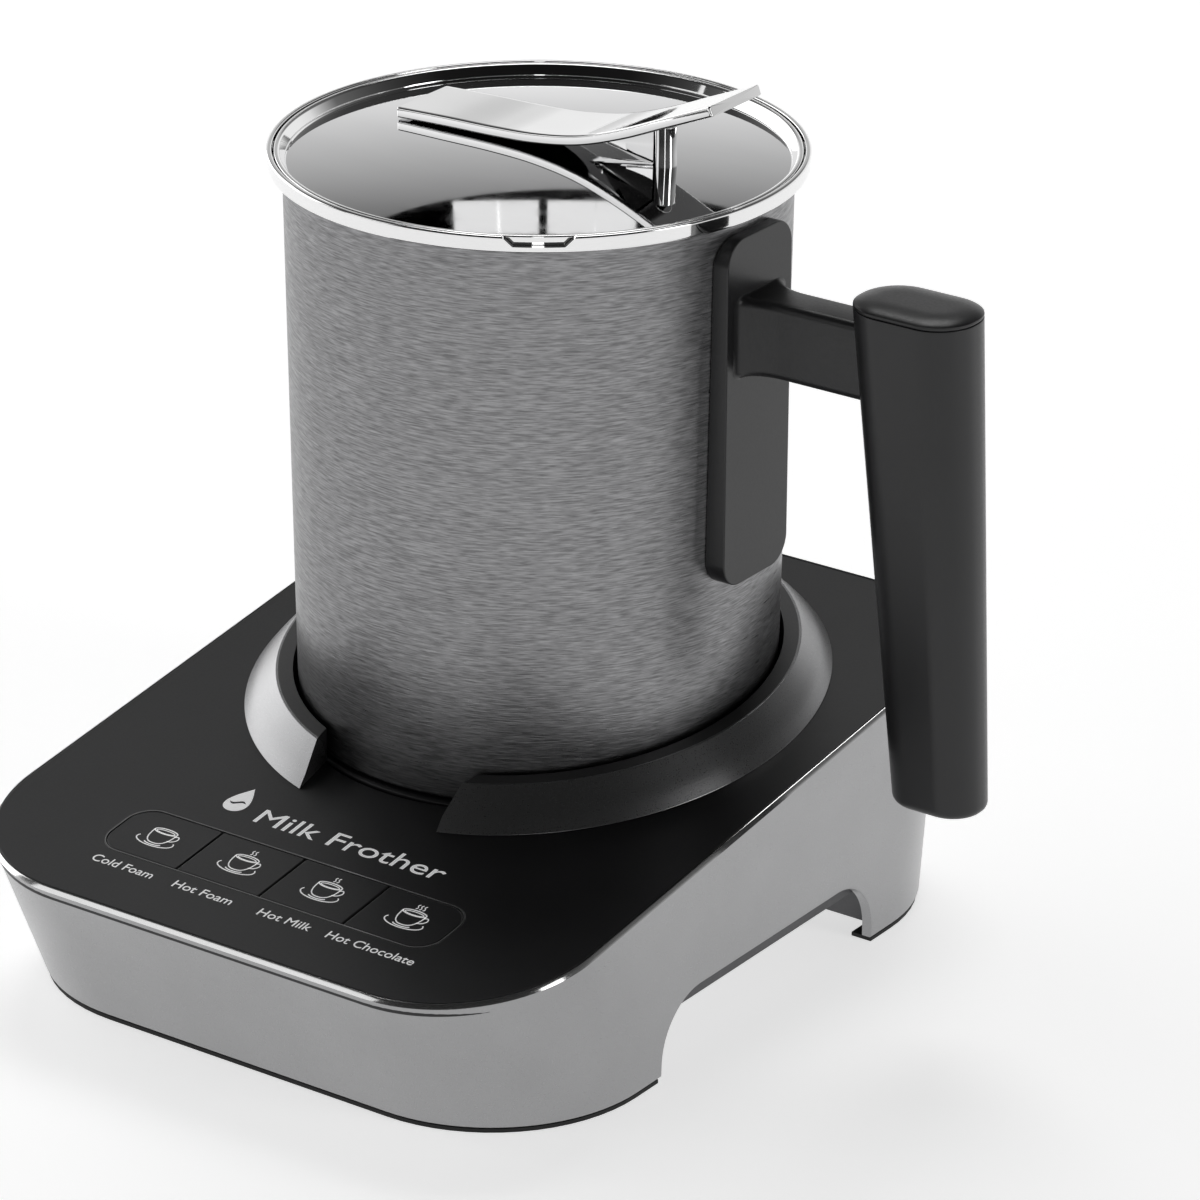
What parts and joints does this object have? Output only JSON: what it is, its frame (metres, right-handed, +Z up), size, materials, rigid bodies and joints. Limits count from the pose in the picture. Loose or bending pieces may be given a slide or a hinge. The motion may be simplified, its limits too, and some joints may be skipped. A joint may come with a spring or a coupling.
{
  "type": "milk frother",
  "caption": "Induction milk frother: sloping control base with push keys, lift-off steel jug with side handle, glass lid and magnetic whisk.",
  "frame": {"origin": "bottom centre of the bounding box, on the table under the feet", "axes": "+Z up, the keys face -Y, the jug's handle points along +X"},
  "size_m": [0.1747, 0.1776, 0.1765],
  "materials": {
    "satin_silver": "satin silver coating",
    "black_top": "fine satin black",
    "dark_plastic": "moulded matte",
    "circuit_board": "solder mask",
    "copper_wire": "enamelled wire",
    "zinc_plate": "zinc plated",
    "magnet": "sintered",
    "black_rubber": "matte",
    "brushed_steel": "brushed round the jug",
    "dark_coating": "non-stick coating",
    "chrome": "polished",
    "black_handle": "satin soft-touch",
    "smoked_glass": "smoked, polished"
  },
  "bodies": {
    "base": {"base_shell": "satin_silver", "top_plate": "black_top", "key_carrier": "dark_plastic", "control_board": "circuit_board", "collar": "satin_silver", "seat_disc": "black_top", "seat_well": "dark_plastic", "coil_carrier": "dark_plastic", "induction_coil": "copper_wire", "temperature_sensor": "zinc_plate", "drive_motor": "zinc_plate", "motor_bracket": "zinc_plate", "power_board": "circuit_board", "bottom_cover": "dark_plastic", "cover_screw_1": "zinc_plate", "cover_screw_2": "zinc_plate", "cover_screw_3": "zinc_plate", "cover_screw_4": "zinc_plate", "front_foot": "black_rubber", "rear_foot": "black_rubber", "cord_gland": "black_rubber"},
    "key_one": {"key_1": "black_top"},
    "key_two": {"key_2": "black_top"},
    "key_three": {"key_3": "black_top"},
    "key_four": {"key_4": "black_top"},
    "rotor": {"drive_rotor": "magnet"},
    "jug": {"jug_shell": "brushed_steel", "jug_base": "zinc_plate", "jug_liner": "dark_coating", "jug_rim": "chrome", "whisk_pin": "zinc_plate", "handle_pad": "black_handle", "handle_arm": "black_handle", "handle_grip": "black_handle", "grip_cap": "black_handle"},
    "lid": {"lid_ring": "chrome", "lid_glass": "smoked_glass", "lid_seal": "black_rubber", "lid_handle": "chrome", "lid_post": "chrome", "lid_washer": "black_rubber", "lid_screw": "zinc_plate"},
    "whisk": {"whisk_hub": "dark_plastic", "whisk_spring": "zinc_plate"}
  },
  "joints": [
    {"name": "key_one_press", "type": "slide", "parent": "base", "child": "key_one", "axis": [0, 0.1387, -0.9903], "range_m": [0, 0.0008], "stiffness_N_per_m": 600},
    {"name": "key_two_press", "type": "slide", "parent": "base", "child": "key_two", "axis": [0, 0.1387, -0.9903], "range_m": [0, 0.0008], "stiffness_N_per_m": 600},
    {"name": "key_three_press", "type": "slide", "parent": "base", "child": "key_three", "axis": [0, 0.1387, -0.9903], "range_m": [0, 0.0008], "stiffness_N_per_m": 600},
    {"name": "key_four_press", "type": "slide", "parent": "base", "child": "key_four", "axis": [0, 0.1387, -0.9903], "range_m": [0, 0.0008], "stiffness_N_per_m": 600},
    {"name": "rotor_spin", "type": "hinge", "parent": "base", "child": "rotor", "pos_m": [-0.0182, 0.01985, 0.034], "axis": [0, 0, 1], "continuous": true},
    {"name": "jug_lift", "type": "slide", "parent": "base", "child": "jug", "axis": [0, 0, 1], "range_m": [0, 0.06]},
    {"name": "lid_lift", "type": "slide", "parent": "jug", "child": "lid", "axis": [0, 0, 1], "range_m": [0, 0.04]},
    {"name": "whisk_spin", "type": "hinge", "parent": "jug", "child": "whisk", "pos_m": [-0.0182, 0.01985, 0.05], "axis": [0, 0, 1], "continuous": true}
  ],
  "couplings": [
    {"joint": "whisk_spin", "follows": "rotor_spin", "ratio": 1}
  ]
}
